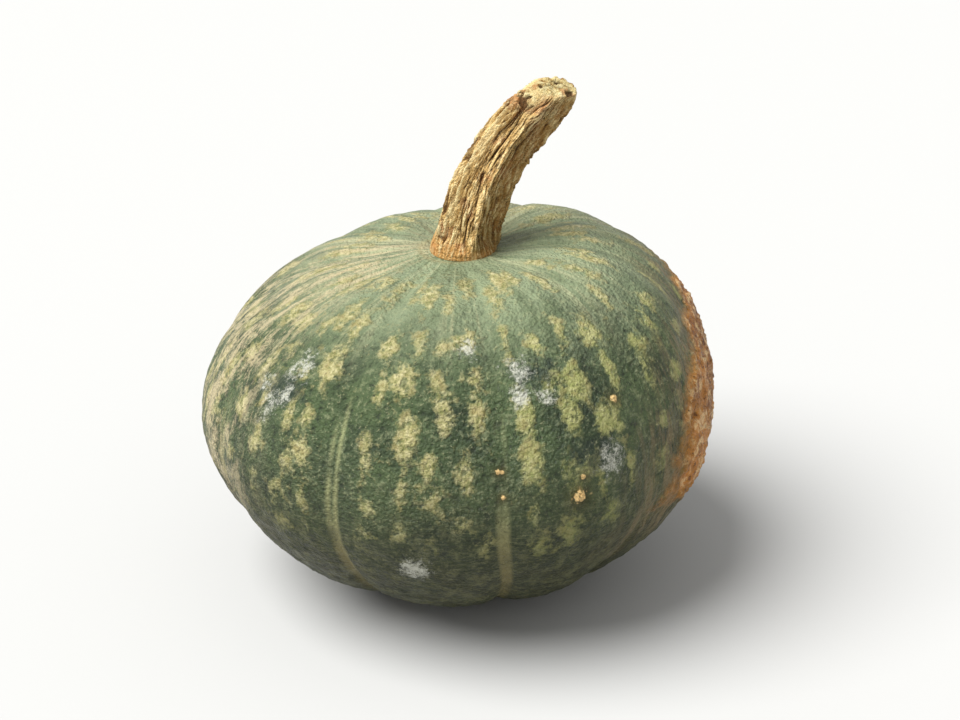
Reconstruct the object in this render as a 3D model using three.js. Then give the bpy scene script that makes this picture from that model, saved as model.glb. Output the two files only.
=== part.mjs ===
// A kabocha squash: a squat ribbed fruit standing on its blossom end, and the
// long dry corky stem on its crown. Millimetres, +Z up. The origin is on the
// floor under the fruit's core, -Y is the fruit's front and the stem leans
// towards +X.

import * as THREE from "three";

// Driving dimensions of the fruit
const fruitRadius = 90; // over the rib crowns, at the widest level
// Each half is a superellipse: two powers of 2 make it a plain ellipse.
const dome = { height: 62.1, radialPower: 2.86, heightPower: 2 };
const bowl = { height: 66, radialPower: 2.1, heightPower: 1.74 };
const crownTilt = { x: 0.19, y: 0.03 }; // how fast the dome's height grows along +X and +Y
const crownHollow = { depth: 5, radius: 34 };
const blossomHollow = { depth: 7, radius: 15 };

// The furrows between the ribs
const ribCount = 10;
const firstFurrowAngle = THREE.MathUtils.degToRad(-81);
const furrowDepth = { widest: 1.7, crown: 1.9, base: 3.4 };
const furrowSharpness = 0.62; // under 1 narrows the furrow and fills out the rib
const furrowFade = { from: 14, to: 34 }; // distances from the core

// Below the widest level the ribs wander round the fruit, some spreading and some closing
const ribWander = {
  waves: 3,
  steadyAngle: THREE.MathUtils.degToRad(-117),
  most: THREE.MathUtils.degToRad(5.5),
  depth: 60, // distance below the widest level where the wander is at its most
};

// The feet: rib crowns pressed flat where they carry the fruit
const footPress = 1.1;

// Driving dimensions of the stem
const seatRadius = 14.1; // of the level corky seat on the crown
const seatBlend = 12; // width of the slope that joins the seat to the crown
const seatGap = 0.3;
const stemRadius = 10.6;
const collar = { extra: 0.8, height: 5 };
const stemTaper = { by: 1.3, from: 0.25, to: 0.65 }; // from and to are shares of its length
const stemTip = { by: 2, from: 0.72 }; // the last stretch rounds in towards the cut
const stemRidges = { count: 5, share: 0.055, twist: 0.9 };
const stemCreases = { count: 13, share: 0.02, twist: 1.4 };
const cutNormal = new THREE.Vector3(0.13, -0.2, 0.97).normalize();
const cutReach = 0.8; // share of the stem's length where the slant of the cut begins

// The stem's middle line leaves the crown almost upright and bends over towards +X
const stemBend = {
  footShift: 2,
  height: 56,
  reach: 31,
  sideways: 2,
  footLean: THREE.MathUtils.degToRad(8),
  footPull: 30, // how far up the stem the foot's lean holds
  tipLean: THREE.MathUtils.degToRad(45),
  tipPull: 20,
};

// Mesh fineness
const stepsPerRib = 10;
const profileSteps = 40;
const stemSides = 40;
const stemSteps = 26;

const rindMaterial = new THREE.MeshStandardMaterial({
  color: 0x4f6a4c,
  roughness: 0.55,
  metalness: 0,
});

const corkMaterial = new THREE.MeshStandardMaterial({
  color: 0xa9814a,
  roughness: 0.9,
  metalness: 0,
});

const bell = (distance, radius) => Math.exp(-((distance / radius) ** 2));

// The crown's surface at the core, above the widest level. It carries the stem.
const seatHeight = dome.height - crownHollow.depth;

// Distance of a half's surface from the widest level, at a share of the full radius.
function halfHeight(half, share) {
  return half.height * (1 - share ** half.radialPower) ** (1 / half.heightPower);
}

// One side of the fruit through a rib crown, from the blossom end to the stem end.
function fruitProfile() {
  const points = [];
  for (let i = 0; i <= profileSteps; i += 1) {
    const latitude = -Math.PI / 2 + (Math.PI * i) / profileSteps;
    const atEnd = i === 0 || i === profileSteps;
    const share = atEnd ? 0 : Math.min(1, Math.cos(latitude));
    const radius = fruitRadius * share;
    const height = latitude > 0
      ? halfHeight(dome, share) - crownHollow.depth * bell(radius, crownHollow.radius)
      : blossomHollow.depth * bell(radius, blossomHollow.radius) - halfHeight(bowl, share);
    points.push(new THREE.Vector2(radius, height));
  }
  return points;
}

// How far the skin lies inside the rib crowns: 0 on a crown, 1 in a furrow.
function furrowShare(angle) {
  const turn = (ribCount * (angle - firstFurrowAngle)) / 2;
  return 1 - Math.abs(Math.sin(turn)) ** furrowSharpness;
}

// Presses the furrows into a round surface, along its own normals.
function pressFurrows(geometry) {
  const position = geometry.getAttribute("position");
  const normal = geometry.getAttribute("normal");
  const point = new THREE.Vector3();
  const outward = new THREE.Vector3();
  for (let i = 0; i < position.count; i += 1) {
    point.fromBufferAttribute(position, i);
    outward.fromBufferAttribute(normal, i);
    const radius = Math.hypot(point.x, point.y);
    const towardsEnds = 1 - (radius / fruitRadius) ** 2;
    const atEnd = point.z > 0 ? furrowDepth.crown : furrowDepth.base;
    const deepest = THREE.MathUtils.lerp(furrowDepth.widest, atEnd, towardsEnds);
    const fade = THREE.MathUtils.smoothstep(radius, furrowFade.from, furrowFade.to);
    const depth = deepest * fade * furrowShare(Math.atan2(point.y, point.x));
    point.addScaledVector(outward, -depth);
    position.setXYZ(i, point.x, point.y, point.z);
  }
}

// Turns the lower skin round the core, more and more towards the blossom end.
function wanderRibs(geometry) {
  const position = geometry.getAttribute("position");
  for (let i = 0; i < position.count; i += 1) {
    const x = position.getX(i);
    const y = position.getY(i);
    const low = THREE.MathUtils.smoothstep(-position.getZ(i), 0, ribWander.depth);
    const wave = Math.sin(ribWander.waves * (Math.atan2(y, x) - ribWander.steadyAngle));
    const turn = ribWander.most * wave * low;
    position.setX(i, x * Math.cos(turn) - y * Math.sin(turn));
    position.setY(i, x * Math.sin(turn) + y * Math.cos(turn));
  }
}

// Tilts the dome and levels the seat that carries the stem.
function tiltDome(geometry) {
  const position = geometry.getAttribute("position");
  for (let i = 0; i < position.count; i += 1) {
    const x = position.getX(i);
    const height = position.getZ(i);
    if (height > 0) {
      const y = position.getY(i);
      const tilted = height * (1 + (crownTilt.x * x + crownTilt.y * y) / fruitRadius);
      const radius = Math.hypot(x, y);
      const outside = THREE.MathUtils.smoothstep(radius, seatRadius, seatRadius + seatBlend);
      position.setZ(i, THREE.MathUtils.lerp(seatHeight, tilted, outside));
    }
  }
}

// Presses the lowest rib crowns flat and stands them on the floor.
function standOnFloor(geometry) {
  geometry.computeBoundingBox();
  const floor = geometry.boundingBox.min.z + footPress;
  const position = geometry.getAttribute("position");
  for (let i = 0; i < position.count; i += 1) {
    position.setZ(i, Math.max(0, position.getZ(i) - floor));
  }
  return floor;
}

function makeFruit() {
  const sides = ribCount * stepsPerRib;
  const geometry = new THREE.LatheGeometry(fruitProfile(), sides, firstFurrowAngle + Math.PI / 2);
  geometry.rotateX(Math.PI / 2);
  pressFurrows(geometry);
  wanderRibs(geometry);
  tiltDome(geometry);
  const floor = standOnFloor(geometry);
  geometry.computeVertexNormals();
  const fruit = new THREE.Mesh(geometry, rindMaterial);
  fruit.name = "fruit";
  return { fruit, crownHeight: seatHeight - floor };
}

// The stem's radius: a collar at the seat, a slight taper, and ridges that wind slowly.
function stemRadiusAt(share, height, angle) {
  const ridge = stemRidges.share * Math.cos(stemRidges.count * angle + stemRidges.twist * share);
  const crease = stemCreases.share * Math.cos(stemCreases.count * angle - stemCreases.twist * share);
  const flare = collar.extra * bell(height, collar.height);
  const taper = stemTaper.by * THREE.MathUtils.smoothstep(share, stemTaper.from, stemTaper.to);
  const tip = stemTip.by * Math.max(0, (share - stemTip.from) / (1 - stemTip.from)) ** 2;
  return (stemRadius - taper - tip) * (1 + ridge + crease) + flare;
}

function stemRoute() {
  const leaning = (lean) => new THREE.Vector3(Math.sin(lean), 0, Math.cos(lean));
  const foot = new THREE.Vector3(stemBend.footShift, 0, 0);
  const tip = foot.clone().add(new THREE.Vector3(stemBend.reach, stemBend.sideways, stemBend.height));
  const aboveFoot = foot.clone().addScaledVector(leaning(stemBend.footLean), stemBend.footPull);
  const belowTip = tip.clone().addScaledVector(leaning(stemBend.tipLean), -stemBend.tipPull);
  return new THREE.CubicBezierCurve3(foot, aboveFoot, belowTip, tip);
}

function makeStem() {
  const route = stemRoute();
  const length = route.getLength();
  const geometry = new THREE.CylinderGeometry(1, 1, 1, stemSides, stemSteps);
  const position = geometry.getAttribute("position");
  const across = new THREE.Vector3();
  const forward = new THREE.Vector3(0, 1, 0);
  for (let i = 0; i < position.count; i += 1) {
    const share = position.getY(i) + 0.5;
    const angle = Math.atan2(position.getX(i), position.getZ(i));
    const reach = Math.hypot(position.getX(i), position.getZ(i));
    const middle = route.getPointAt(share);
    // The base ring stays level on the seat, and the rest stand square to the route.
    const upright = new THREE.Vector3(0, 0, 1);
    const along = upright.lerp(route.getTangentAt(share), Math.min(1, share * 3)).normalize();
    across.crossVectors(forward, along).normalize();
    const sideways = new THREE.Vector3().crossVectors(across, along);
    const radius = reach * stemRadiusAt(share, share * length, angle);
    const offset = across.clone().multiplyScalar(radius * Math.sin(angle));
    offset.addScaledVector(sideways, radius * Math.cos(angle));
    // Towards the top each point slides along the stem until the end lies in the slanted cut.
    const slide = -offset.dot(cutNormal) / along.dot(cutNormal);
    const slant = THREE.MathUtils.smoothstep(share, cutReach, 1);
    middle.add(offset).addScaledVector(along, slide * slant);
    position.setXYZ(i, middle.x, middle.y, middle.z);
  }
  geometry.computeVertexNormals();
  const stem = new THREE.Mesh(geometry, corkMaterial);
  stem.name = "stem";
  return stem;
}

const { fruit, crownHeight } = makeFruit();
const stem = makeStem();
stem.position.z = crownHeight + seatGap;

const squash = new THREE.Group();
squash.add(fruit, stem);

export default squash;
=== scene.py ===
import math
import random

import bpy
import numpy as np
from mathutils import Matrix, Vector, noise


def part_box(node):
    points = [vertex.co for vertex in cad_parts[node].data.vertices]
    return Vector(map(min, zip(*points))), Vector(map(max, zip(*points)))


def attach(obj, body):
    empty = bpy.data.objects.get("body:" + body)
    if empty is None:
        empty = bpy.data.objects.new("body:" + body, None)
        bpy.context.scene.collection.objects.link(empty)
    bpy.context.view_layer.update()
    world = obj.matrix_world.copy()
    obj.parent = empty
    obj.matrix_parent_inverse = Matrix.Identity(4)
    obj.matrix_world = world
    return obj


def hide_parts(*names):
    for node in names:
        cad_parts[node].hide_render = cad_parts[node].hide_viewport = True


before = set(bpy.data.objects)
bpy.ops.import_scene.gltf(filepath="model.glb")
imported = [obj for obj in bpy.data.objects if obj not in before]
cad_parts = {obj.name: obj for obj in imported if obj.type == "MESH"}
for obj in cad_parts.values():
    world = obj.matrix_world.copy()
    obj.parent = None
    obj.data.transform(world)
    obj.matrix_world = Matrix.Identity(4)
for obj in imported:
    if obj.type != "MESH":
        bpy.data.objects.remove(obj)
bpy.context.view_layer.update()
mm = 0.001


def deselectAll():
    if bpy.context.object and bpy.context.object.mode != "OBJECT":
        bpy.ops.object.mode_set(mode="OBJECT")
    bpy.ops.object.select_all(action="DESELECT")


def makeActive(piece):
    deselectAll()
    piece.select_set(True)
    bpy.context.view_layer.objects.active = piece


def applyModifier(piece, kind, **settings):
    makeActive(piece)
    modifier = piece.modifiers.new(kind.lower(), kind)
    for name, value in settings.items():
        setattr(modifier, name, value)
    bpy.ops.object.modifier_apply(modifier=modifier.name)


def readPoints(piece):
    flat = np.empty(len(piece.data.vertices) * 3, np.float32)
    piece.data.vertices.foreach_get("co", flat)
    return flat.reshape(-1, 3).astype(float)


def writePoints(piece, points):
    piece.data.vertices.foreach_set("co", points.astype(np.float32).ravel())
    piece.data.update()


def readNormals(piece):
    flat = np.empty(len(piece.data.vertices) * 3, np.float32)
    piece.data.vertex_normals.foreach_get("vector", flat)
    return flat.reshape(-1, 3).astype(float)


def paint(piece, name, values):
    values = np.asarray(values, np.float32)
    if values.ndim == 2:
        layer = piece.data.attributes.new(name, "FLOAT_VECTOR", "POINT")
        layer.data.foreach_set("vector", values.ravel())
    else:
        layer = piece.data.attributes.new(name, "FLOAT", "POINT")
        layer.data.foreach_set("value", values)


def smoothStep(values, low=0.0, high=1.0):
    share = np.clip((values - low) / (high - low), 0, 1)
    return share * share * (3 - 2 * share)


def bell(distance, radius):
    return np.exp(-((distance / radius) ** 2))


def lumps(points, size, seed, octaves=2):
    shift = Vector((seed * 17.1, seed * 5.3, seed * 9.7))
    return np.array([noise.fractal(Vector(p) / size + shift, 0.8, 2.0, octaves) for p in points])


def selectFaces(piece, wanted):
    makeActive(piece)
    bpy.ops.object.mode_set(mode="EDIT")
    bpy.ops.mesh.select_mode(type="FACE")
    bpy.ops.mesh.select_all(action="DESELECT")
    bpy.ops.object.mode_set(mode="OBJECT")
    for face in piece.data.polygons:
        face.select = bool(wanted(face.center))
    bpy.ops.object.mode_set(mode="EDIT")


view = {
    "distance": 0.65,
    "elevation": math.radians(25.7),
    "lens": 68.8,
    "aimRight": 0.0078,  # the fruit sits a little left of the middle and low
    "aimUp": 0.0157,
    "widestHeight": 0.0621,
}


def makeCamera():
    core = Vector((0, 0, view["widestHeight"]))
    back = Vector((0, -math.cos(view["elevation"]), math.sin(view["elevation"])))
    eye = core + back * view["distance"]
    aim = core + Vector((view["aimRight"], 0, view["aimUp"]))
    bpy.ops.object.camera_add(location=eye)
    camera = bpy.context.object
    camera.rotation_euler = (aim - eye).to_track_quat("-Z", "Y").to_euler()
    camera.data.lens = view["lens"]
    camera.data.sensor_width = 36
    camera.data.clip_start = 0.01
    camera.data.dof.use_dof = False
    bpy.context.scene.camera = camera


deselectAll()
makeCamera()
print("camera placed")


def colour(red, green, blue):  # from screen values of 0 to 255
    return tuple(((c / 255 + 0.055) / 1.055) ** 2.4 for c in (red, green, blue)) + (1.0,)


def feed(tree, value, socket):
    if isinstance(value, bpy.types.NodeSocket):
        tree.links.new(value, socket)
    else:
        socket.default_value = value


def maths(tree, operation, first, second=0.0, clamp=False):
    made = tree.nodes.new("ShaderNodeMath")
    made.operation = operation
    made.use_clamp = clamp
    feed(tree, first, made.inputs[0])
    feed(tree, second, made.inputs[1])
    return made.outputs[0]


def multiplier(tree):  # a short way to write products in one material
    return lambda first, second: maths(tree, "MULTIPLY", first, second)


def mix(tree, factor, first, second, blend="MIX"):
    made = tree.nodes.new("ShaderNodeMix")
    made.data_type = "RGBA"
    made.blend_type = blend
    feed(tree, factor, made.inputs["Factor"])
    feed(tree, first, made.inputs[6])
    feed(tree, second, made.inputs[7])
    return made.outputs[2]


def remap(tree, value, fromLow, fromHigh, toLow=0.0, toHigh=1.0):
    made = tree.nodes.new("ShaderNodeMapRange")
    made.interpolation_type = "SMOOTHSTEP"
    feed(tree, value, made.inputs["Value"])
    made.inputs["From Min"].default_value = fromLow
    made.inputs["From Max"].default_value = fromHigh
    made.inputs["To Min"].default_value = toLow
    made.inputs["To Max"].default_value = toHigh
    return made.outputs["Result"]


def grainNoise(tree, vector, size, detail=3.0, rough=0.5, distortion=0.0):  # size in metres
    made = tree.nodes.new("ShaderNodeTexNoise")
    feed(tree, vector, made.inputs["Vector"])
    made.inputs["Scale"].default_value = 1 / size
    made.inputs["Detail"].default_value = detail
    made.inputs["Roughness"].default_value = rough
    made.inputs["Distortion"].default_value = distortion
    return made.outputs["Fac"]


def stretched(tree, vector, scale, shift=(0, 0, 0)):
    made = tree.nodes.new("ShaderNodeMapping")
    feed(tree, vector, made.inputs["Vector"])
    made.inputs["Scale"].default_value = scale
    made.inputs["Location"].default_value = shift
    return made.outputs["Vector"]


def ramp(tree, factor, *stops):
    made = tree.nodes.new("ShaderNodeValToRGB")
    feed(tree, factor, made.inputs["Fac"])
    band = made.color_ramp
    while len(band.elements) < len(stops):
        band.elements.new(0.5)
    for element, (place, shade) in zip(band.elements, stops):
        element.position = place
        element.color = shade
    return made.outputs["Color"]


def painted(tree, name, output="Fac"):
    made = tree.nodes.new("ShaderNodeAttribute")
    made.attribute_name = name
    return made.outputs[output]


def objectPlace(tree):
    return tree.nodes.new("ShaderNodeTexCoord").outputs["Object"]


def newMaterial(name):
    material = bpy.data.materials.new(name)
    material.use_nodes = True
    return material, material.node_tree, material.node_tree.nodes["Principled BSDF"]


def bump(tree, shader, height, distance, strength=1.0):
    made = tree.nodes.new("ShaderNodeBump")
    made.inputs["Strength"].default_value = strength
    made.inputs["Distance"].default_value = distance
    feed(tree, height, made.inputs["Height"])
    tree.links.new(made.outputs["Normal"], shader.inputs["Normal"])


def makeSpeckleGroup():  # fine dust that also serves as painted glints, and pores, for rind and cork alike
    group = bpy.data.node_groups.new("speckle", "ShaderNodeTree")
    group.interface.new_socket("Vector", in_out="INPUT", socket_type="NodeSocketVector")
    group.interface.new_socket("Size", in_out="INPUT", socket_type="NodeSocketFloat")
    group.interface.new_socket("DustAndGlints", in_out="OUTPUT", socket_type="NodeSocketFloat")
    group.interface.new_socket("Pores", in_out="OUTPUT", socket_type="NodeSocketFloat")
    group.interface.new_socket("Height", in_out="OUTPUT", socket_type="NodeSocketFloat")
    entry = group.nodes.new("NodeGroupInput")
    leave = group.nodes.new("NodeGroupOutput")
    scale = maths(group, "DIVIDE", 1.0, entry.outputs["Size"])
    fine = group.nodes.new("ShaderNodeTexNoise")
    fine.inputs["Detail"].default_value = 4
    fine.inputs["Roughness"].default_value = 0.7
    group.links.new(entry.outputs["Vector"], fine.inputs["Vector"])
    group.links.new(scale, fine.inputs["Scale"])
    pebble = group.nodes.new("ShaderNodeTexVoronoi")
    group.links.new(entry.outputs["Vector"], pebble.inputs["Vector"])
    group.links.new(scale, pebble.inputs["Scale"])
    group.links.new(remap(group, fine.outputs["Fac"], 0.56, 0.72), leave.inputs["DustAndGlints"])
    group.links.new(remap(group, fine.outputs["Fac"], 0.44, 0.3), leave.inputs["Pores"])
    domes = maths(group, "SUBTRACT", 1.0, pebble.outputs["Distance"])
    height = maths(group, "ADD", maths(group, "MULTIPLY", domes, 0.6),
                   maths(group, "MULTIPLY", fine.outputs["Fac"], 0.8))
    group.links.new(height, leave.inputs["Height"])
    return group


speckleGroup = makeSpeckleGroup()


def speckle(tree, vector, size):
    made = tree.nodes.new("ShaderNodeGroup")
    made.node_tree = speckleGroup
    feed(tree, vector, made.inputs["Vector"])
    made.inputs["Size"].default_value = size
    return made.outputs["DustAndGlints"], made.outputs["Pores"], made.outputs["Height"]


fruit = {
    "segments": 100,
    "rings": 48,
    "ribs": 10,
    "firstFurrow": math.radians(-81),
    "wander": math.radians(5.5),  # how far the ribs turn round the core underneath
    "wanderWaves": 3,
    "wanderSteady": math.radians(-117),
    "wanderDepth": 0.060,
    "radius": 0.090,
}


def wanderAt(bearing, height):
    low = smoothStep(view["widestHeight"] - height, 0, fruit["wanderDepth"])
    return fruit["wander"] * np.sin(fruit["wanderWaves"] * (bearing - fruit["wanderSteady"])) * low


def ribBearing(points):  # the bearing each point would have if the ribs ran straight down
    seen = np.arctan2(points[:, 1], points[:, 0])
    straight = seen.copy()
    for _ in range(4):
        straight = seen - wanderAt(straight, points[:, 2])
    return straight


def apart(bearing, other):  # smallest turn between two bearings
    return np.abs((bearing - other + math.pi) % (2 * math.pi) - math.pi)


def makeFruitCage():
    low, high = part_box("fruit")
    half = (high - low) / 2
    bpy.ops.mesh.primitive_uv_sphere_add(
        segments=fruit["segments"], ring_count=fruit["rings"], radius=1, location=(0, 0, 0))
    piece = bpy.context.object
    piece.name = "fruit_rind"
    bpy.ops.object.mode_set(mode="EDIT")
    bpy.ops.transform.rotate(  # a meridian along each furrow
        value=math.pi / fruit["segments"], orient_axis="Z", center_override=(0, 0, 0))
    bpy.ops.transform.resize(value=half, center_override=(0, 0, 0))
    bpy.ops.transform.translate(value=(low + high) / 2)
    bpy.ops.object.mode_set(mode="OBJECT")
    points = readPoints(piece)
    bearing = np.arctan2(points[:, 1], points[:, 0])
    turn = wanderAt(bearing, points[:, 2])
    x, y = points[:, 0].copy(), points[:, 1].copy()
    points[:, 0] = x * np.cos(turn) - y * np.sin(turn)
    points[:, 1] = x * np.sin(turn) + y * np.cos(turn)
    writePoints(piece, points)
    applyModifier(piece, "SHRINKWRAP", target=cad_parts["fruit"], wrap_method="PROJECT",
                  use_negative_direction=True, use_positive_direction=True)
    moved = np.abs(readPoints(piece) - points).max()
    print("fruit cage wrapped, largest move in mm:", round(moved / mm, 1))
    return piece


rind = makeFruitCage()
applyModifier(rind, "SUBSURF", levels=2, render_levels=2)
print("rind faces:", len(rind.data.polygons))


# what grew on the skin: bearings in degrees round the core, -90 at the front and 0 towards +X
wart = {
    "bearing": -65, "height": 68, "radius": 1.8, "rise": 1.4,  # mm, low on the right of the front
    "flecks": 5, "fleckRadius": (0.6, 1.2), "fleckRise": 0.45,
    "fleckAcross": 20,  # degrees to either side
    "fleckHeight": (-6, 35),  # mm from the big wart
}


def placeWarts():  # the big wart and the small flecks that lie round and above it
    dice = random.Random(4)
    places = [(wart["bearing"], wart["height"], wart["radius"], wart["rise"])]
    for _ in range(wart["flecks"]):
        across, (down, up) = wart["fleckAcross"], wart["fleckHeight"]
        size = dice.uniform(*wart["fleckRadius"])
        places.append((wart["bearing"] + dice.uniform(-across, across),
                       wart["height"] + dice.uniform(down, up), size, wart["fleckRise"] * size))
    return places


warts = placeWarts()
groundSpot = {
    "bearing": math.radians(-2), "height": 0.0725,
    "across": 0.056, "above": 0.031, "below": 0.020, "tilt": math.radians(20),
    "ragged": 0.15,
}


def onSkin(bearing, height):  # the skin's point at a bearing and a height
    points = readPoints(rind)
    turned = ribBearing(points)
    miss = apart(turned, math.radians(bearing)) * fruit["radius"] + np.abs(points[:, 2] - height)
    return Vector(points[miss.argmin()])


def spotReach(points):  # 0 at the ground spot's middle, 1 on its edge
    side = (ribBearing(points) - groundSpot["bearing"] + math.pi) % (2 * math.pi) - math.pi
    side = side * np.hypot(points[:, 0], points[:, 1])
    rise = points[:, 2] - groundSpot["height"]
    turn = groundSpot["tilt"]
    along = side * math.cos(turn) + rise * math.sin(turn)
    over = rise * math.cos(turn) - side * math.sin(turn)
    upDown = np.where(over > 0, groundSpot["above"], groundSpot["below"])
    return np.hypot(along / groundSpot["across"], over / upDown)


def refineDetails():  # finer faces where the skin is rough or warty
    spotCentre = Vector((fruit["radius"], 0, groundSpot["height"]))

    def inSpot(centre):
        if (centre - spotCentre).length > 0.09:
            return False
        return spotReach(np.array([centre]))[0] < 1.12

    selectFaces(rind, inSpot)
    bpy.ops.mesh.subdivide(number_cuts=1)
    bpy.ops.object.mode_set(mode="OBJECT")
    places = [(onSkin(bearing, height * mm), radius) for bearing, height, radius, rise in warts]
    for margin, cuts in ((3.2, 1), (1.4, 2)):
        selectFaces(rind, lambda centre: any((centre - place).length < (radius + margin) * mm
                                             for place, radius in places))
        bpy.ops.mesh.subdivide(number_cuts=cuts)
    bpy.ops.object.mode_set(mode="OBJECT")
    return [np.array(place) for place, radius in places]


wartPlaces = refineDetails()


def skinFields(points):
    radius = np.hypot(points[:, 0], points[:, 1])
    bearing = ribBearing(points)
    low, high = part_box("fruit")
    middle = view["widestHeight"]
    rise = np.where(points[:, 2] > middle,
                    (points[:, 2] - middle) / (high.z - middle),
                    (points[:, 2] - middle) / (middle - low.z))
    level = np.arctan2(rise, radius / fruit["radius"])  # -90 to 90 degrees, blossom end to stem
    furrowStep = 2 * math.pi / fruit["ribs"]
    inRib = (bearing - fruit["firstFurrow"]) % furrowStep
    furrow = np.minimum(inRib, furrowStep - inRib) * radius  # distance to the nearest furrow
    flow = np.stack([fruit["radius"] * np.cos(bearing), fruit["radius"] * np.sin(bearing),
                     fruit["radius"] * (0.35 * level + 0.65 * np.sin(level))], axis=1)
    return radius, bearing, level, furrow, flow


sculpt = {
    "creaseDepth": (0.1, 1.3),  # mm, above and below
    "creaseWidth": 1.5,  # mm
    "swellDepth": 0.5, "swellSize": 0.034,
    "dimpleDepth": 0.30, "dimpleSize": 0.011,
    "pebbleDepth": 0.15, "pebbleSize": 0.0034,
    "rayDepth": 0.16,
    "spotRough": 1.0, "spotCrumb": 0.7, "spotRise": 0.4,
    "lipRadius": 14.5, "lipRise": 0.5,
}


def sculptRind():
    points, normals = readPoints(rind), readNormals(rind)
    radius, bearing, level, furrow, flow = skinFields(points)
    below = smoothStep(-level, -0.2, 0.8)
    awayFromCore = smoothStep(radius, 0.012, 0.030)
    wobble = lumps(flow, 0.02, 3)
    crease = sculpt["creaseDepth"][0] + (sculpt["creaseDepth"][1] - sculpt["creaseDepth"][0]) * below
    push = -crease * bell(furrow / mm, sculpt["creaseWidth"]) * awayFromCore * (1 + 0.8 * wobble)
    push += sculpt["swellDepth"] * lumps(points, sculpt["swellSize"], 1)
    push += sculpt["dimpleDepth"] * lumps(points, sculpt["dimpleSize"], 2)
    low = smoothStep(-level, -0.5, 0.7)
    push += sculpt["pebbleDepth"] * (1 + 1.8 * low) * lumps(points, sculpt["pebbleSize"], 4)
    rays = lumps(flow * np.array([1, 1, 0.12]), 0.009, 5)  # fine ridges that run to the stem
    push += sculpt["rayDepth"] * rays * smoothStep(level, 0.5, 1.2) * awayFromCore
    reach = spotReach(points) + groundSpot["ragged"] * lumps(points, 0.011, 6)
    spot = smoothStep(reach, 1.06, 0.94)
    rough = sculpt["spotRough"] * lumps(points, 0.0055, 7, 3)
    rough += sculpt["spotCrumb"] * np.abs(lumps(points, 0.0024, 8, 2))
    push += spot * (rough + sculpt["spotRise"] * smoothStep(reach, 1.0, 0.8))
    push -= 0.5 * bell(reach - 1.08, 0.07)  # a shallow moat round the spot
    grit = lumps(points, 0.0010, 9)
    for place, (_, _, size, rise) in zip(wartPlaces, warts):
        knob = smoothStep(size - np.linalg.norm(points - place, axis=1) / mm, -0.4, 0.5 * size)
        push += knob * rise * (1 + 0.7 * grit)
    push += sculpt["lipRise"] * bell(radius / mm - sculpt["lipRadius"], 1.6) * (level > 0)
    moved = points + normals * (push * mm)[:, None]
    moved[:, 2] = np.maximum(moved[:, 2], 0)
    writePoints(rind, moved)
    return reach


spotEdge = sculptRind()
print("rind sculpted")

blotches = {
    "columns": (0.17, 0.39, 0.61, 0.83),  # shares of the way across a rib
    "drift": 0.08,
    "levels": (-12, 66),  # degrees: 0 is the widest ring and 90 the middle of the crown
    "crownFrom": 50,  # above this they are long and thin
    "across": (1.9, 4.6), "along": (2.6, 8.0),  # half width and half length in mm
    "crownAcross": (1.6, 3.0), "crownAlong": (5, 10),
    "gap": (2, 9),  # degrees
    "strength": (0.55, 1.0),
    "lowFade": 0.5, "fadeOver": 30,  # how much weaker they are at the bottom, and over what stretch
    "topDrift": (-6, 2), "degreesPerMm": 1.3,
}
knocks = [  # bearing and level in degrees, reach in mm, darkness, silver scuffs round it
    (-135, 30, 10, 1.0, 5), (-90, 50, 3, 0.0, 1), (-70, 40, 9, 0.9, 3), (-60, 15, 12, 0.85, 1),
    (-130, 10, 5, 0.6, 0), (-100, -15, 10, 0.0, 1), (20, 30, 8, 0.5, 2), (75, 30, 9, 0.8, 3),
    (120, 45, 7, 0.6, 2), (145, 25, 7, 0.8, 2),
]


def ribMarks():  # ragged columns of blotches down every rib
    dice = random.Random(3)
    low, high = blotches["levels"]
    marks = []
    for rib in range(fruit["ribs"]):
        for column in blotches["columns"]:
            level = high + dice.uniform(*blotches["topDrift"])
            while level > low:
                onCrown = level > blotches["crownFrom"]
                across = dice.uniform(*blotches["crownAcross" if onCrown else "across"])
                along = dice.uniform(*blotches["crownAlong" if onCrown else "along"])
                place = rib + column + dice.uniform(-1, 1) * blotches["drift"]
                strength = dice.uniform(*blotches["strength"])
                strength *= 1 - blotches["lowFade"] * max(0, 1 - (level - low) / blotches["fadeOver"])
                bearing = math.degrees(fruit["firstFurrow"]) + place * 360 / fruit["ribs"]
                marks.append((bearing, level, across, along, strength))
                level -= along * blotches["degreesPerMm"] + dice.uniform(*blotches["gap"])
    return marks


scuffShape = {
    "spread": 0.8,  # degrees either way for each mm of the knock's reach
    "size": (0.4, 0.6), "leastReach": 7,
    "longer": 1.1, "bruiseHeight": 0.6, "strength": (0.7, 1.0),
}


def knockMarks():  # dark bruises, and the silver scuffs that lie round them
    dice = random.Random(7)
    bruises = []
    scuffs = []
    for bearing, level, reach, dark, count in knocks:
        if dark > 0:
            bruises.append((bearing, level, reach, reach * scuffShape["bruiseHeight"], dark))
        for _ in range(count):
            turn = dice.uniform(-scuffShape["spread"], scuffShape["spread"]) * reach
            rise = dice.uniform(-scuffShape["spread"], scuffShape["spread"]) * reach
            size = dice.uniform(*scuffShape["size"]) * max(reach, scuffShape["leastReach"])
            scuffs.append((bearing + turn, level + rise, size, size * scuffShape["longer"],
                           dice.uniform(*scuffShape["strength"])))
    return bruises, scuffs


def markStrength(fields, marks):  # 1 in the middle of a mark, falling to 0 round it
    points, radius, bearing, level = fields
    strength = np.zeros(len(points))
    for angle, height, across, along, most in marks:
        turn = (bearing - math.radians(angle) + math.pi) % (2 * math.pi) - math.pi
        miss = np.abs(turn) + np.abs(level - math.radians(height))
        gap = ((points - points[miss.argmin()]) ** 2).sum(axis=1)
        side = (turn * radius) ** 2
        reach = side / (across * mm) ** 2 + np.maximum(gap - side, 0) / (along * mm) ** 2
        strength = np.maximum(strength, most * np.exp(-0.75 * reach))
    return strength


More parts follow.
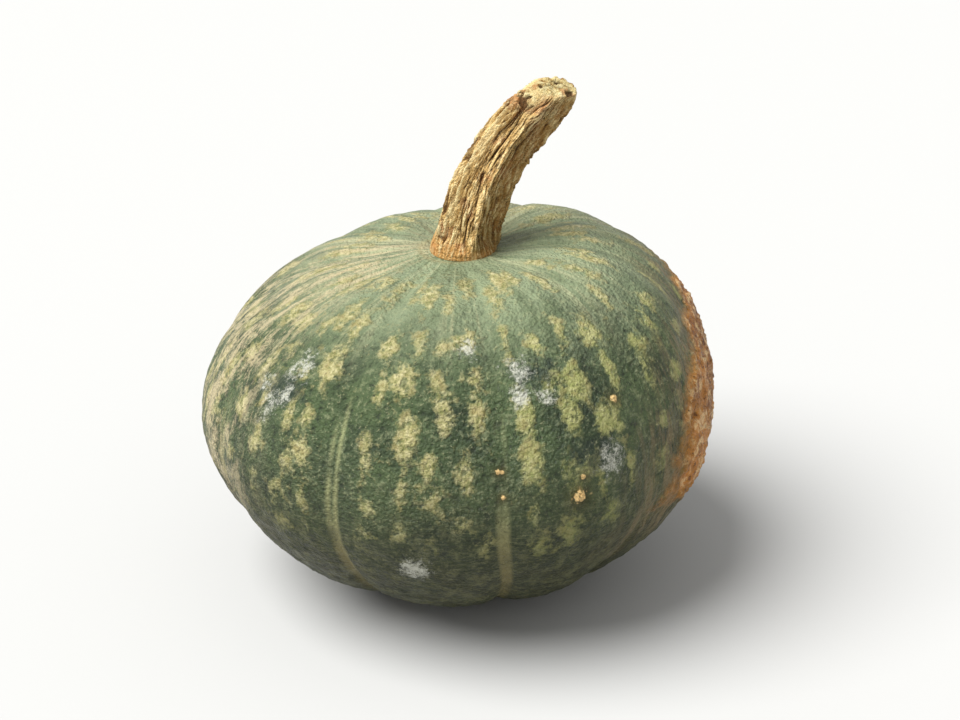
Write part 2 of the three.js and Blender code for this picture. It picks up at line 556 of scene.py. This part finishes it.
def furrowStripes(furrow, bearing, level, flow):
    wave = np.cos(fruit["wanderWaves"] * (bearing - fruit["wanderSteady"]))
    merge = 0.15 * wave
    low = smoothStep(-level - merge, -0.2, 0.1)
    pair = bell(furrow / mm - 1.1, 0.6) * (1 - low)  # two thin lines that join lower down
    strip = smoothStep(-furrow / mm, -2.5, -1.2) * low
    dashes = smoothStep(lumps(flow * np.array([1, 1, 0.35]), 0.008, 12), -0.35, 0.3)
    clear = 0.3 + 0.7 * smoothStep(wave, -0.4, 0.8)
    worn = 0.3 + 0.7 * smoothStep(wave, -0.75, -0.4)
    return clear * pair * dashes * smoothStep(-level, -0.85, -0.4) + strip * worn * (0.4 + 0.4 * dashes)


def paintRind():
    points = readPoints(rind)
    radius, bearing, level, furrow, flow = skinFields(points)
    fields = (points, radius, bearing, level)
    bruises, scuffs = knockMarks()
    tanStreaksAndLitSide = smoothStep(-np.cos(bearing - 0.1), 0.74, 0.99)  # the weathered side, towards -X: its tan streaks, laid on thicker to paint in light on the side the lamp comes from
    paint(rind, "flow", flow)
    paint(rind, "blotch", markStrength(fields, ribMarks()))
    paint(rind, "fresh", smoothStep(points[:, 0], 0.0, 0.035) * smoothStep(-level, -1.0, -0.7))
    paint(rind, "furrow", np.clip(furrowStripes(furrow, bearing, level, flow), 0, 1))
    # the upper skin: its streaks and bloom, and a painted top light that pales it
    paint(rind, "crown", smoothStep(level, 0.56, 1.14))
    # the lower skin: carries its haze and scratches, and a painted shade that darkens it towards the bottom
    paint(rind, "underside", smoothStep(-level, -0.40, 0.45))
    paint(rind, "tanStreaksAndLitSide", tanStreaksAndLitSide * smoothStep(level, -0.75, -0.1))
    paint(rind, "scuff", markStrength(fields, scuffs))
    paint(rind, "bruise", markStrength(fields, bruises))
    paint(rind, "spotEdge", np.minimum(spotEdge, 3))
    grit = 0.5 * lumps(points, 0.0012, 10)
    wartReach = np.min([np.linalg.norm(points - place, axis=1) / mm / size
                        for place, (_, _, size, _) in zip(wartPlaces, warts)], axis=0)
    paint(rind, "wart", smoothStep(-wartReach * (1 + grit), -1.25, -0.85))
    paint(rind, "wartHalo", bell(wartReach, 2.6))
    paint(rind, "seat", bell(radius / mm - 12.6, 1.1) * (level > 0))


paintRind()
print("rind painted")

rindColours = {
    # crown: the pale top, partly the skin's grey bloom and partly painted top light and sheen
    "deep": colour(42, 56, 32), "mid": colour(68, 84, 50), "crown": colour(134, 146, 112),
    # under: painted shade over the lower skin
    "under": colour(38, 42, 16), "dark": colour(24, 33, 18),
    "haze": colour(144, 150, 112), "hazeLow": colour(104, 104, 68),
    "blotch": colour(162, 156, 104), "blotchPale": colour(200, 192, 144),
    "blotchOlive": colour(104, 110, 56), "blotchFresh": colour(150, 158, 86),
    "gold": colour(150, 128, 76), "tan": colour(196, 180, 142),
    "streak": colour(184, 182, 142), "stripe": colour(150, 154, 108), "stripeTan": colour(132, 122, 78),
    "silver": colour(194, 194, 180), "bruise": colour(30, 44, 36), "brown": colour(128, 112, 80),
    "spotDark": colour(108, 60, 22), "spotBrown": colour(166, 108, 50), "spotMid": colour(210, 140, 60),
    # the ground spot's pale peach, partly a painted highlight
    "spotPeachAndHighlight": colour(248, 210, 152), "spotGold": colour(180, 126, 46),
    "wart": colour(216, 182, 122), "wartHalo": colour(70, 62, 22), "seat": colour(168, 156, 112),
}


def makeRindMaterial():
    shade = rindColours
    material, tree, shader = newMaterial("squash_rind")
    place = objectPlace(tree)
    flow = painted(tree, "flow", "Vector")
    strands = stretched(tree, flow, (1, 1, 0.14))
    dustAndGlints, pores, grain = speckle(tree, place, 0.0012)
    crown = painted(tree, "crown")
    underside = painted(tree, "underside")
    times = multiplier(tree)

    def swing(noise, reach):  # from -reach / 2 to reach / 2
        return times(maths(tree, "SUBTRACT", noise, 0.5), reach)

    # the haze is darker lower down, as painted shade
    pale = mix(tree, underside, shade["haze"], shade["hazeLow"])
    broad = grainNoise(tree, place, 0.020, 4, 0.62)
    base = ramp(tree, broad, (0.36, shade["deep"]), (0.58, shade["mid"]), (0.75, shade["mid"]))
    # the crown is paler: partly the skin's own grey bloom, partly painted top light and sheen
    bloomAndTopLight = remap(tree, grainNoise(tree, flow, 0.012, 4, 0.6), 0.25, 0.65, 0.35, 1.0)
    base = mix(tree, times(crown, bloomAndTopLight), base, shade["crown"])
    # painted shade: the lower skin is darkened, unevenly
    shadow = remap(tree, grainNoise(tree, place, 0.010, 4, 0.6), 0.25, 0.6, 0.65, 1.0)
    base = mix(tree, times(underside, shadow), base, shade["under"])
    mottle = grainNoise(tree, place, 0.0032, 4, 0.72)
    base = mix(tree, remap(tree, mottle, 0.52, 0.68, 0.0, 0.45), base, pale)
    smooth = remap(tree, crown, 0.0, 1.0, 1.0, 0.35)
    base = mix(tree, times(remap(tree, mottle, 0.48, 0.32, 0.0, 0.75), smooth), base, shade["dark"])
    scaly = times(underside, remap(tree, grainNoise(tree, place, 0.0060, 5, 0.78), 0.50, 0.62, 0.0, 0.55))
    base = mix(tree, scaly, base, shade["hazeLow"])

    band = grainNoise(tree, stretched(tree, flow, (1, 1, 0.16)), 0.019, 5, 0.72, 0.8)
    base = mix(tree, times(crown, remap(tree, band, 0.50, 0.66, 0.0, 0.6)), base, shade["streak"])
    fineStreak = grainNoise(tree, strands, 0.0015, 3, 0.6)
    scratch = grainNoise(tree, stretched(tree, flow, (0.35, 0.35, 1.6)), 0.0016, 3, 0.7, 1.2)
    base = mix(tree, times(underside, remap(tree, scratch, 0.50, 0.66, 0.0, 0.55)), base, pale)

    ragged = swing(grainNoise(tree, place, 0.0042, 4, 0.6), 1.25)
    crumbs = swing(grainNoise(tree, place, 0.0012, 2, 0.6), 0.35)
    drift = maths(tree, "ADD", times(painted(tree, "blotch"), 0.70), maths(tree, "ADD", ragged, crumbs))
    blotch = remap(tree, drift, 0.15, 0.43)
    holes = remap(tree, grainNoise(tree, place, 0.0030, 2, 0.5), 0.55, 0.68, 1.0, 0.35)
    inner = grainNoise(tree, place, 0.0018, 4, 0.75)
    blotchShade = ramp(tree, inner, (0.34, shade["blotchOlive"]), (0.49, shade["blotch"]),
                       (0.64, shade["blotchPale"]))
    blotchShade = mix(tree, times(painted(tree, "fresh"), 0.5), blotchShade, shade["blotchFresh"])
    gold = remap(tree, grainNoise(tree, place, 0.0042, 3, 0.6), 0.53, 0.68, 0.0, 0.40)
    blotchShade = mix(tree, gold, blotchShade, shade["gold"])
    # painted shade: the blotches also turn olive lower down
    blotchShade = mix(tree, times(underside, 0.6), blotchShade, shade["blotchOlive"])
    blotch = times(times(blotch, holes), remap(tree, painted(tree, "blotch"), 0.1, 0.8, 0.55, 0.95))
    base = mix(tree, blotch, base, blotchShade)

    granular = grainNoise(tree, place, 0.0018, 5, 0.85, 0.8)
    patchy = grainNoise(tree, stretched(tree, flow, (1, 1, 0.32)), 0.0060, 5, 0.75, 0.5)
    tanPatch = remap(tree, maths(tree, "ADD", patchy, swing(granular, 0.5)), 0.44, 0.62)
    # tan streaks on the -X side: real weathering, and painted light on that lit side
    base = mix(tree, times(times(painted(tree, "tanStreaksAndLitSide"), tanPatch), 0.75), base, shade["tan"])
    stripeShade = mix(tree, underside, shade["stripe"], shade["stripeTan"])
    base = mix(tree, times(painted(tree, "furrow"), 0.9), base, stripeShade)

    uneven = swing(grainNoise(tree, place, 0.0034, 4, 0.75), 1.5)
    bruise = remap(tree, maths(tree, "ADD", painted(tree, "bruise"), uneven), 0.36, 0.85, 0.0, 0.75)
    base = mix(tree, bruise, base, shade["bruise"])
    crackle = maths(tree, "ADD", times(uneven, 0.9), swing(granular, 2.4))
    scuff = maths(tree, "ADD", painted(tree, "scuff"), crackle)
    base = mix(tree, remap(tree, scuff, 0.44, 1.05, 0.0, 0.85), base, shade["silver"])

    edge = maths(tree, "ADD", painted(tree, "spotEdge"), times(uneven, 0.16))  # 1 on the spot's edge
    rim = remap(tree, grainNoise(tree, strands, 0.0034, 5, 0.75, 0.5), 0.42, 0.60, 0.08, 0.85)
    base = mix(tree, times(remap(tree, edge, 1.7, 1.0), rim), base, shade["brown"])
    spotTone = grainNoise(tree, place, 0.013, 4, 0.6)
    spotShade = ramp(tree, spotTone, (0.40, shade["spotBrown"]), (0.54, shade["spotMid"]),
                     (0.70, shade["spotMid"]))
    crumb = grainNoise(tree, place, 0.0046, 6, 0.72, 0.3)
    # pale peach crumbs on the ground spot: its own pale colour and painted highlights on its bumps
    spotShade = mix(tree, remap(tree, crumb, 0.50, 0.60, 0.0, 0.95), spotShade, shade["spotPeachAndHighlight"])
    spotShade = mix(tree, remap(tree, crumb, 0.46, 0.36, 0.0, 0.95), spotShade, shade["spotDark"])
    spotShade = mix(tree, remap(tree, edge, 0.82, 1.0, 0.0, 0.6), spotShade, shade["spotGold"])
    inSpot = remap(tree, edge, 1.08, 0.92)
    base = mix(tree, inSpot, base, spotShade)

    base = mix(tree, times(painted(tree, "wartHalo"), 0.7), base, shade["wartHalo"])
    base = mix(tree, painted(tree, "wart"), base, shade["wart"])
    base = mix(tree, times(painted(tree, "seat"), 0.4), base, shade["seat"])
    base = mix(tree, times(pores, remap(tree, crown, 0.0, 1.0, 0.7, 0.15)), base, shade["dark"])
    # pale specks: dust, and painted glints, brighter on the top than low down
    base = mix(tree, times(dustAndGlints, 0.40), base, mix(tree, underside, shade["streak"], shade["hazeLow"]))
    feed(tree, base, shader.inputs["Base Color"])

    gloss = remap(tree, grainNoise(tree, place, 0.009, 3, 0.6), 0.3, 0.7, 0.40, 0.62)
    gloss = maths(tree, "SUBTRACT", gloss, times(inSpot, 0.08), True)
    feed(tree, gloss, shader.inputs["Roughness"])
    shader.inputs["Specular IOR Level"].default_value = 0.33
    height = maths(tree, "ADD", grain, maths(tree, "ADD", times(mottle, 1.6), times(blotch, inner)))
    height = maths(tree, "ADD", height, times(times(inSpot, crumb), 4.0))
    height = maths(tree, "ADD", height, times(fineStreak, 0.15))
    bump(tree, shader, height, 0.0013, 0.85)
    return material


rind.data.materials.append(makeRindMaterial())
makeActive(rind)
bpy.ops.object.shade_smooth()
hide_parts("fruit")
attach(rind, "root")
print("rind finished")


stem = {
    "sides": 72,
    "rings": 46,
    "radius": 10.6,  # mm
    "collar": 0.8, "collarHeight": 5.0,
    "taper": 1.3, "taperFrom": 0.25, "taperTo": 0.65,
    "tip": 2.0, "tipFrom": 0.72,
    "sunk": 0.6,  # mm below the seat, so that it grows out of the skin
    "cutLean": math.radians(7.5), "cutPitch": math.radians(11.5),  # towards +X and the front
    "slantFrom": 0.78,
    "capInsets": 6,
}
stemBend = {  # mm and radians, as the part's own stem
    "footShift": 2, "height": 56, "reach": 31, "sideways": 2,
    "footLean": math.radians(8), "footPull": 30,
    "tipLean": math.radians(45), "tipPull": 20,
    "fineSteps": 201,
}


def leaning(lean):
    return np.array([math.sin(lean), 0, math.cos(lean)])


def routePoints(count):  # even steps along the stem's curve, in metres
    foot = np.array([stemBend["footShift"], 0, 0])
    tip = foot + np.array([stemBend["reach"], stemBend["sideways"], stemBend["height"]])
    aboveFoot = foot + leaning(stemBend["footLean"]) * stemBend["footPull"]
    belowTip = tip - leaning(stemBend["tipLean"]) * stemBend["tipPull"]
    t = np.linspace(0, 1, stemBend["fineSteps"])[:, None]
    fine = (foot * (1 - t) ** 3 + aboveFoot * 3 * t * (1 - t) ** 2
            + belowTip * 3 * t ** 2 * (1 - t) + tip * t ** 3)
    walked = np.concatenate([[0], np.cumsum(np.linalg.norm(np.diff(fine, axis=0), axis=1))])
    even = np.linspace(0, walked[-1], count)
    middle = np.stack([np.interp(even, walked, fine[:, axis]) for axis in range(3)], axis=1)
    middle = middle * mm
    middle[:, 2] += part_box("stem")[0].z
    return middle, even / walked[-1], walked[-1]


def stemRadius(share, along):  # mm
    slim = stem["taper"] * smoothStep(share, stem["taperFrom"], stem["taperTo"])
    slim += stem["tip"] * np.clip((share - stem["tipFrom"]) / (1 - stem["tipFrom"]), 0, 1) ** 2
    return stem["radius"] - slim + stem["collar"] * np.exp(-((along / stem["collarHeight"]) ** 2))


def makeStemCage():
    middle, share, length = routePoints(stem["rings"])
    lean = np.unwrap(np.arctan2(np.gradient(middle[:, 0]), np.gradient(middle[:, 2])))
    lean *= np.minimum(1, share * 3)  # the base stays level on its seat
    slant = smoothStep(share, stem["slantFrom"], 1.0)
    lean += (stem["cutLean"] - lean) * slant
    pitch = stem["cutPitch"] * slant
    radius = stemRadius(share, share * length) * mm
    here = Vector(middle[0]) - Vector((0, 0, stem["sunk"] * mm))
    bpy.ops.mesh.primitive_circle_add(vertices=stem["sides"], radius=radius[0], location=here)
    piece = bpy.context.object
    piece.name = "stem_cork"
    bpy.ops.object.transform_apply(location=True, rotation=False, scale=False)
    bpy.ops.object.mode_set(mode="EDIT")
    bpy.ops.mesh.select_mode(type="EDGE")
    bpy.ops.mesh.select_all(action="SELECT")
    tilt, dip, size = 0.0, 0.0, radius[0]
    for centre, nextTilt, nextDip, nextSize in zip(middle, lean, pitch, radius):
        centre = Vector(centre)
        bpy.ops.mesh.extrude_region_move(TRANSFORM_OT_translate={"value": centre - here})
        bpy.ops.transform.rotate(value=-(nextTilt - tilt), orient_axis="Y", center_override=centre)
        bpy.ops.transform.rotate(value=-(nextDip - dip), orient_axis="X", center_override=centre)
        scale = nextSize / size
        bpy.ops.transform.resize(value=(scale, scale, scale), center_override=centre)
        here, tilt, dip, size = centre, nextTilt, nextDip, nextSize
    bpy.ops.mesh.edge_face_add()
    for inset in range(stem["capInsets"]):
        bpy.ops.mesh.inset(thickness=size / (stem["capInsets"] + 1), depth=0.5 * mm if inset == 0 else 0)
    bpy.ops.object.mode_set(mode="OBJECT")
    return piece, middle, length


def closeStemBase(piece):  # the hidden face that stands in the skin
    makeActive(piece)
    bpy.ops.object.mode_set(mode="EDIT")
    bpy.ops.mesh.select_all(action="DESELECT")
    bpy.ops.mesh.select_mode(type="EDGE")
    bpy.ops.mesh.select_non_manifold(extend=False, use_wire=False, use_multi_face=False,
                                     use_non_contiguous=False, use_verts=False)
    bpy.ops.mesh.edge_face_add()
    bpy.ops.mesh.inset(thickness=4 * mm, depth=0)
    bpy.ops.mesh.select_all(action="SELECT")
    bpy.ops.mesh.normals_make_consistent(inside=False)
    bpy.ops.object.mode_set(mode="OBJECT")


stalk, stalkMiddle, stalkLength = makeStemCage()
closeStemBase(stalk)
applyModifier(stalk, "SUBSURF", levels=2, render_levels=2)
print("stem faces:", len(stalk.data.polygons))

bark = {
    "lobes": 5, "lobeDepth": 1.8, "lobeStart": math.radians(16),  # mm, and the crest at the front
    "twist": 0.45,  # radians that the grain winds over the stem's length
    # each layer of lengthwise grain: width and length of a strand, depth, all in mm
    "ridges": (2.6, 48.0, 0.42), "strands": (1.3, 24.0, 0.46), "fibres": (0.65, 8.0, 0.42),
    "cracks": (2.4, 30.0, 0.50), "splits": (1.1, 13.0, 0.42),
    "crackShare": 0.20,  # how much of the bark the cracks take
    "wrinkleDepth": 0.35, "endRough": 0.8, "pitDepth": 1.5,
    "endFrom": 0.8,  # share of the length above which a face can be part of the cut
}


def stemFields(points):
    middle, share, length = routePoints(260)
    nearest = np.empty(len(points), int)
    for start in range(0, len(points), 8000):
        block = points[start:start + 8000]
        gaps = ((block[:, None, :] - middle[None]) ** 2).sum(axis=2)
        nearest[start:start + 8000] = gaps.argmin(axis=1)
    along = np.stack([np.gradient(middle[:, axis]) for axis in range(3)], axis=1)
    along /= np.linalg.norm(along, axis=1)[:, None]
    across = np.cross([0, 1, 0], along)
    across /= np.linalg.norm(across, axis=1)[:, None]
    front = np.cross(across, along)
    offset = points - middle[nearest]
    right = (offset * across[nearest]).sum(1)
    forward = (offset * front[nearest]).sum(1)
    rise = (offset * along[nearest]).sum(1) / mm + share[nearest] * length
    return np.arctan2(right, forward), rise, share[nearest]


def barkGrain(angle, rise, share):
    turned = angle + bark["twist"] * share
    ring = 9.8 * np.stack([np.cos(turned), np.sin(turned)], axis=1)  # mm round the stem
    sway = 1.3 * lumps(np.column_stack([ring, rise * 0.6]), 8.0, 40)

    def layer(name, seed):
        width, long, depth = bark[name]
        place = np.column_stack([ring[:, 0] + sway, ring[:, 1] - sway, rise * width / long]) / width
        return np.array([noise.fractal(Vector(p) + Vector((seed, 0, 0)), 0.9, 2.1, 2) for p in place]), depth

    grain = np.zeros(len(rise))
    for name, seed in (("ridges", 3), ("strands", 17), ("fibres", 29)):
        value, depth = layer(name, seed)
        grain += depth * (1 - 2.6 * np.abs(value))  # sharp crests with round troughs
    cracked = np.zeros(len(rise))
    for name, seed in (("cracks", 51), ("splits", 67)):
        value, depth = layer(name, seed)
        line = smoothStep(-np.abs(value), -bark["crackShare"], 0)
        grain -= depth * line
        cracked = np.maximum(cracked, line * depth)
    return grain, cracked, ring


def sculptStem():
    points, normals = readPoints(stalk), readNormals(stalk)
    angle, rise, share = stemFields(points)
    cutNormal = np.array([math.sin(stem["cutLean"]), -math.sin(stem["cutPitch"]), 0])
    cutNormal[2] = math.sqrt(1 - (cutNormal ** 2).sum())
    onCut = smoothStep((normals * cutNormal).sum(1), 0.55, 0.92) * (rise > stalkLength * bark["endFrom"])
    side = 1 - onCut
    grain, cracked, ring = barkGrain(angle, rise, share)
    turn = bark["lobes"] * (angle - bark["lobeStart"] + 0.35 * share) / 2
    lobe = 1 - 2 * np.abs(np.sin(turn))  # a crest where it is 1 and a round hollow between
    wrinkle = lumps(np.column_stack([ring * 0.25, rise]), 1.5, 61)  # bands round the foot
    atFoot = smoothStep(-rise, -5.0, -2.5)
    grain -= grain.mean()
    toCut = smoothStep(((stalkMiddle[-1] - points) * cutNormal).sum(1) / mm, 0.2, 2.6)
    push = bark["lobeDepth"] * (lobe - 0.3) * smoothStep(rise, 1.0, 8.0) + (grain - 0.4) * (1 - 0.7 * atFoot)
    push = push * (0.25 + 0.75 * toCut) + bark["wrinkleDepth"] * wrinkle * atFoot
    push = push * side * smoothStep(rise, -0.4, 1.0)
    lumpy = lumps(points / mm, 3.4, 21, 3)
    pits = smoothStep(lumps(points / mm, 4.2, 23, 2), 0.16, 0.40)
    push += onCut * (bark["endRough"] * lumpy - bark["pitDepth"] * pits)
    writePoints(stalk, points + normals * (push * mm)[:, None])
    hollow = np.clip(smoothStep(-grain, 0.1, 1.2) * 0.6 + cracked * 1.1, 0, 1) * (1 - 0.5 * atFoot)
    paint(stalk, "crevice", np.clip(hollow * side + pits * onCut, 0, 1))
    paint(stalk, "ridgeTop", np.clip(smoothStep(grain, 0.15, 0.8) * side, 0, 1))
    paint(stalk, "cutEnd", np.maximum(onCut, 0.5 * (1 - toCut) * (rise > stalkLength * bark["endFrom"])))
    # painted shade: the stem's right side, away from the lamp, is darkened
    paint(stalk, "paintedShadeSide", smoothStep(np.sin(angle - 0.25), 0.05, 0.75) * side)
    paint(stalk, "foot", smoothStep(-rise, -5.5, -2.0) * side)
    paint(stalk, "strand", np.column_stack([ring, rise * 0.16]) * mm)


sculptStem()
print("stem sculpted")

corkColours = {
    "crevice": colour(82, 50, 16), "brown": colour(152, 112, 54), "tan": colour(216, 180, 116),
    "cream": colour(248, 228, 172), "rust": colour(168, 110, 70), "foot": colour(182, 124, 58),
    "end": colour(206, 186, 128), "endPale": colour(230, 216, 166), "endRust": colour(186, 128, 78),
}


def makeCorkMaterial():
    shade = corkColours
    material, tree, shader = newMaterial("stem_cork")
    place = objectPlace(tree)
    strand = painted(tree, "strand", "Vector")
    dustAndGlints, pores, grain = speckle(tree, place, 0.0007)
    times = multiplier(tree)

    tone = grainNoise(tree, strand, 0.0030, 4, 0.65)
    base = ramp(tree, tone, (0.34, shade["brown"]), (0.50, shade["tan"]), (0.72, shade["tan"]))
    rust = remap(tree, grainNoise(tree, place, 0.008, 3, 0.55), 0.52, 0.64, 0.0, 0.7)
    base = mix(tree, rust, base, shade["rust"])
    base = mix(tree, times(painted(tree, "ridgeTop"), 0.8), base, shade["cream"])
    # painted shade: the right side of the stem turns brown
    base = mix(tree, times(painted(tree, "paintedShadeSide"), 0.65), base, shade["brown"])
    foot = painted(tree, "foot")
    base = mix(tree, times(foot, 0.55), base, shade["foot"])
    fineStrand = grainNoise(tree, strand, 0.0008, 3, 0.65)
    base = mix(tree, remap(tree, fineStrand, 0.50, 0.34, 0.0, 0.8), base, shade["brown"])
    base = mix(tree, remap(tree, fineStrand, 0.52, 0.66, 0.0, 0.6), base, shade["cream"])
    endShade = ramp(tree, grainNoise(tree, place, 0.0024, 4, 0.65), (0.36, shade["brown"]),
                    (0.48, shade["end"]), (0.66, shade["endPale"]))
    endRust = remap(tree, grainNoise(tree, place, 0.0060, 2, 0.5), 0.50, 0.62, 0.0, 0.75)
    base = mix(tree, painted(tree, "cutEnd"), base, mix(tree, endRust, endShade, shade["endRust"]))
    hollow = remap(tree, painted(tree, "crevice"), 0.20, 0.80, 0.0, 0.92)
    base = mix(tree, hollow, base, shade["crevice"])
    base = mix(tree, times(pores, 0.65), base, shade["crevice"])
    base = mix(tree, times(dustAndGlints, 0.5), base, shade["cream"])
    feed(tree, base, shader.inputs["Base Color"])
    feed(tree, remap(tree, tone, 0.3, 0.7, 0.80, 0.95), shader.inputs["Roughness"])
    shader.inputs["Specular IOR Level"].default_value = 0.25
    height = maths(tree, "ADD", grain, times(fineStrand, 1.2))
    bump(tree, shader, height, 0.0011, 0.9)
    return material


stalk.data.materials.append(makeCorkMaterial())
makeActive(stalk)
bpy.ops.object.shade_smooth()
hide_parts("stem")
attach(stalk, "root")
print("stem finished")


studio = {
    "floorShade": colour(188, 188, 186), "airShade": (1, 1, 1, 1), "airStrength": 0.58,
    "sunFrom": Vector((-0.52, -0.20, 0.83)), "sunStrength": 5.2, "sunSpread": math.radians(45),
}


def makeFloor():
    deselectAll()
    bpy.ops.mesh.primitive_plane_add(size=8, location=(0, 0, -0.0002))
    floor = bpy.context.object
    floor.name = "studio_floor"
    material, tree, shader = newMaterial("floor_paint")
    shader.inputs["Base Color"].default_value = studio["floorShade"]
    shader.inputs["Roughness"].default_value = 0.9
    floor.data.materials.append(material)


def addSun():  # a big soft light, high on the left
    bpy.ops.object.light_add(type="SUN", location=studio["sunFrom"] * 2)
    lamp = bpy.context.object
    lamp.data.energy = studio["sunStrength"]
    lamp.data.angle = studio["sunSpread"]
    lamp.rotation_euler = (-studio["sunFrom"]).to_track_quat("-Z", "Y").to_euler()


def makeAir():  # even light from all round, behind a white backdrop
    world = bpy.data.worlds.new("studio_air")
    world.use_nodes = True
    tree = world.node_tree
    air = tree.nodes["Background"]
    air.inputs["Color"].default_value = studio["airShade"]
    path = tree.nodes.new("ShaderNodeLightPath")
    strength = maths(tree, "MULTIPLY", path.outputs["Is Camera Ray"], 1 - studio["airStrength"])
    feed(tree, maths(tree, "ADD", strength, studio["airStrength"]), air.inputs["Strength"])
    bpy.context.scene.world = world
    bpy.context.scene.view_settings.view_transform = "Standard"


makeFloor()
addSun()
makeAir()
print("studio lit")

deselectAll()
bpy.context.view_layer.update()
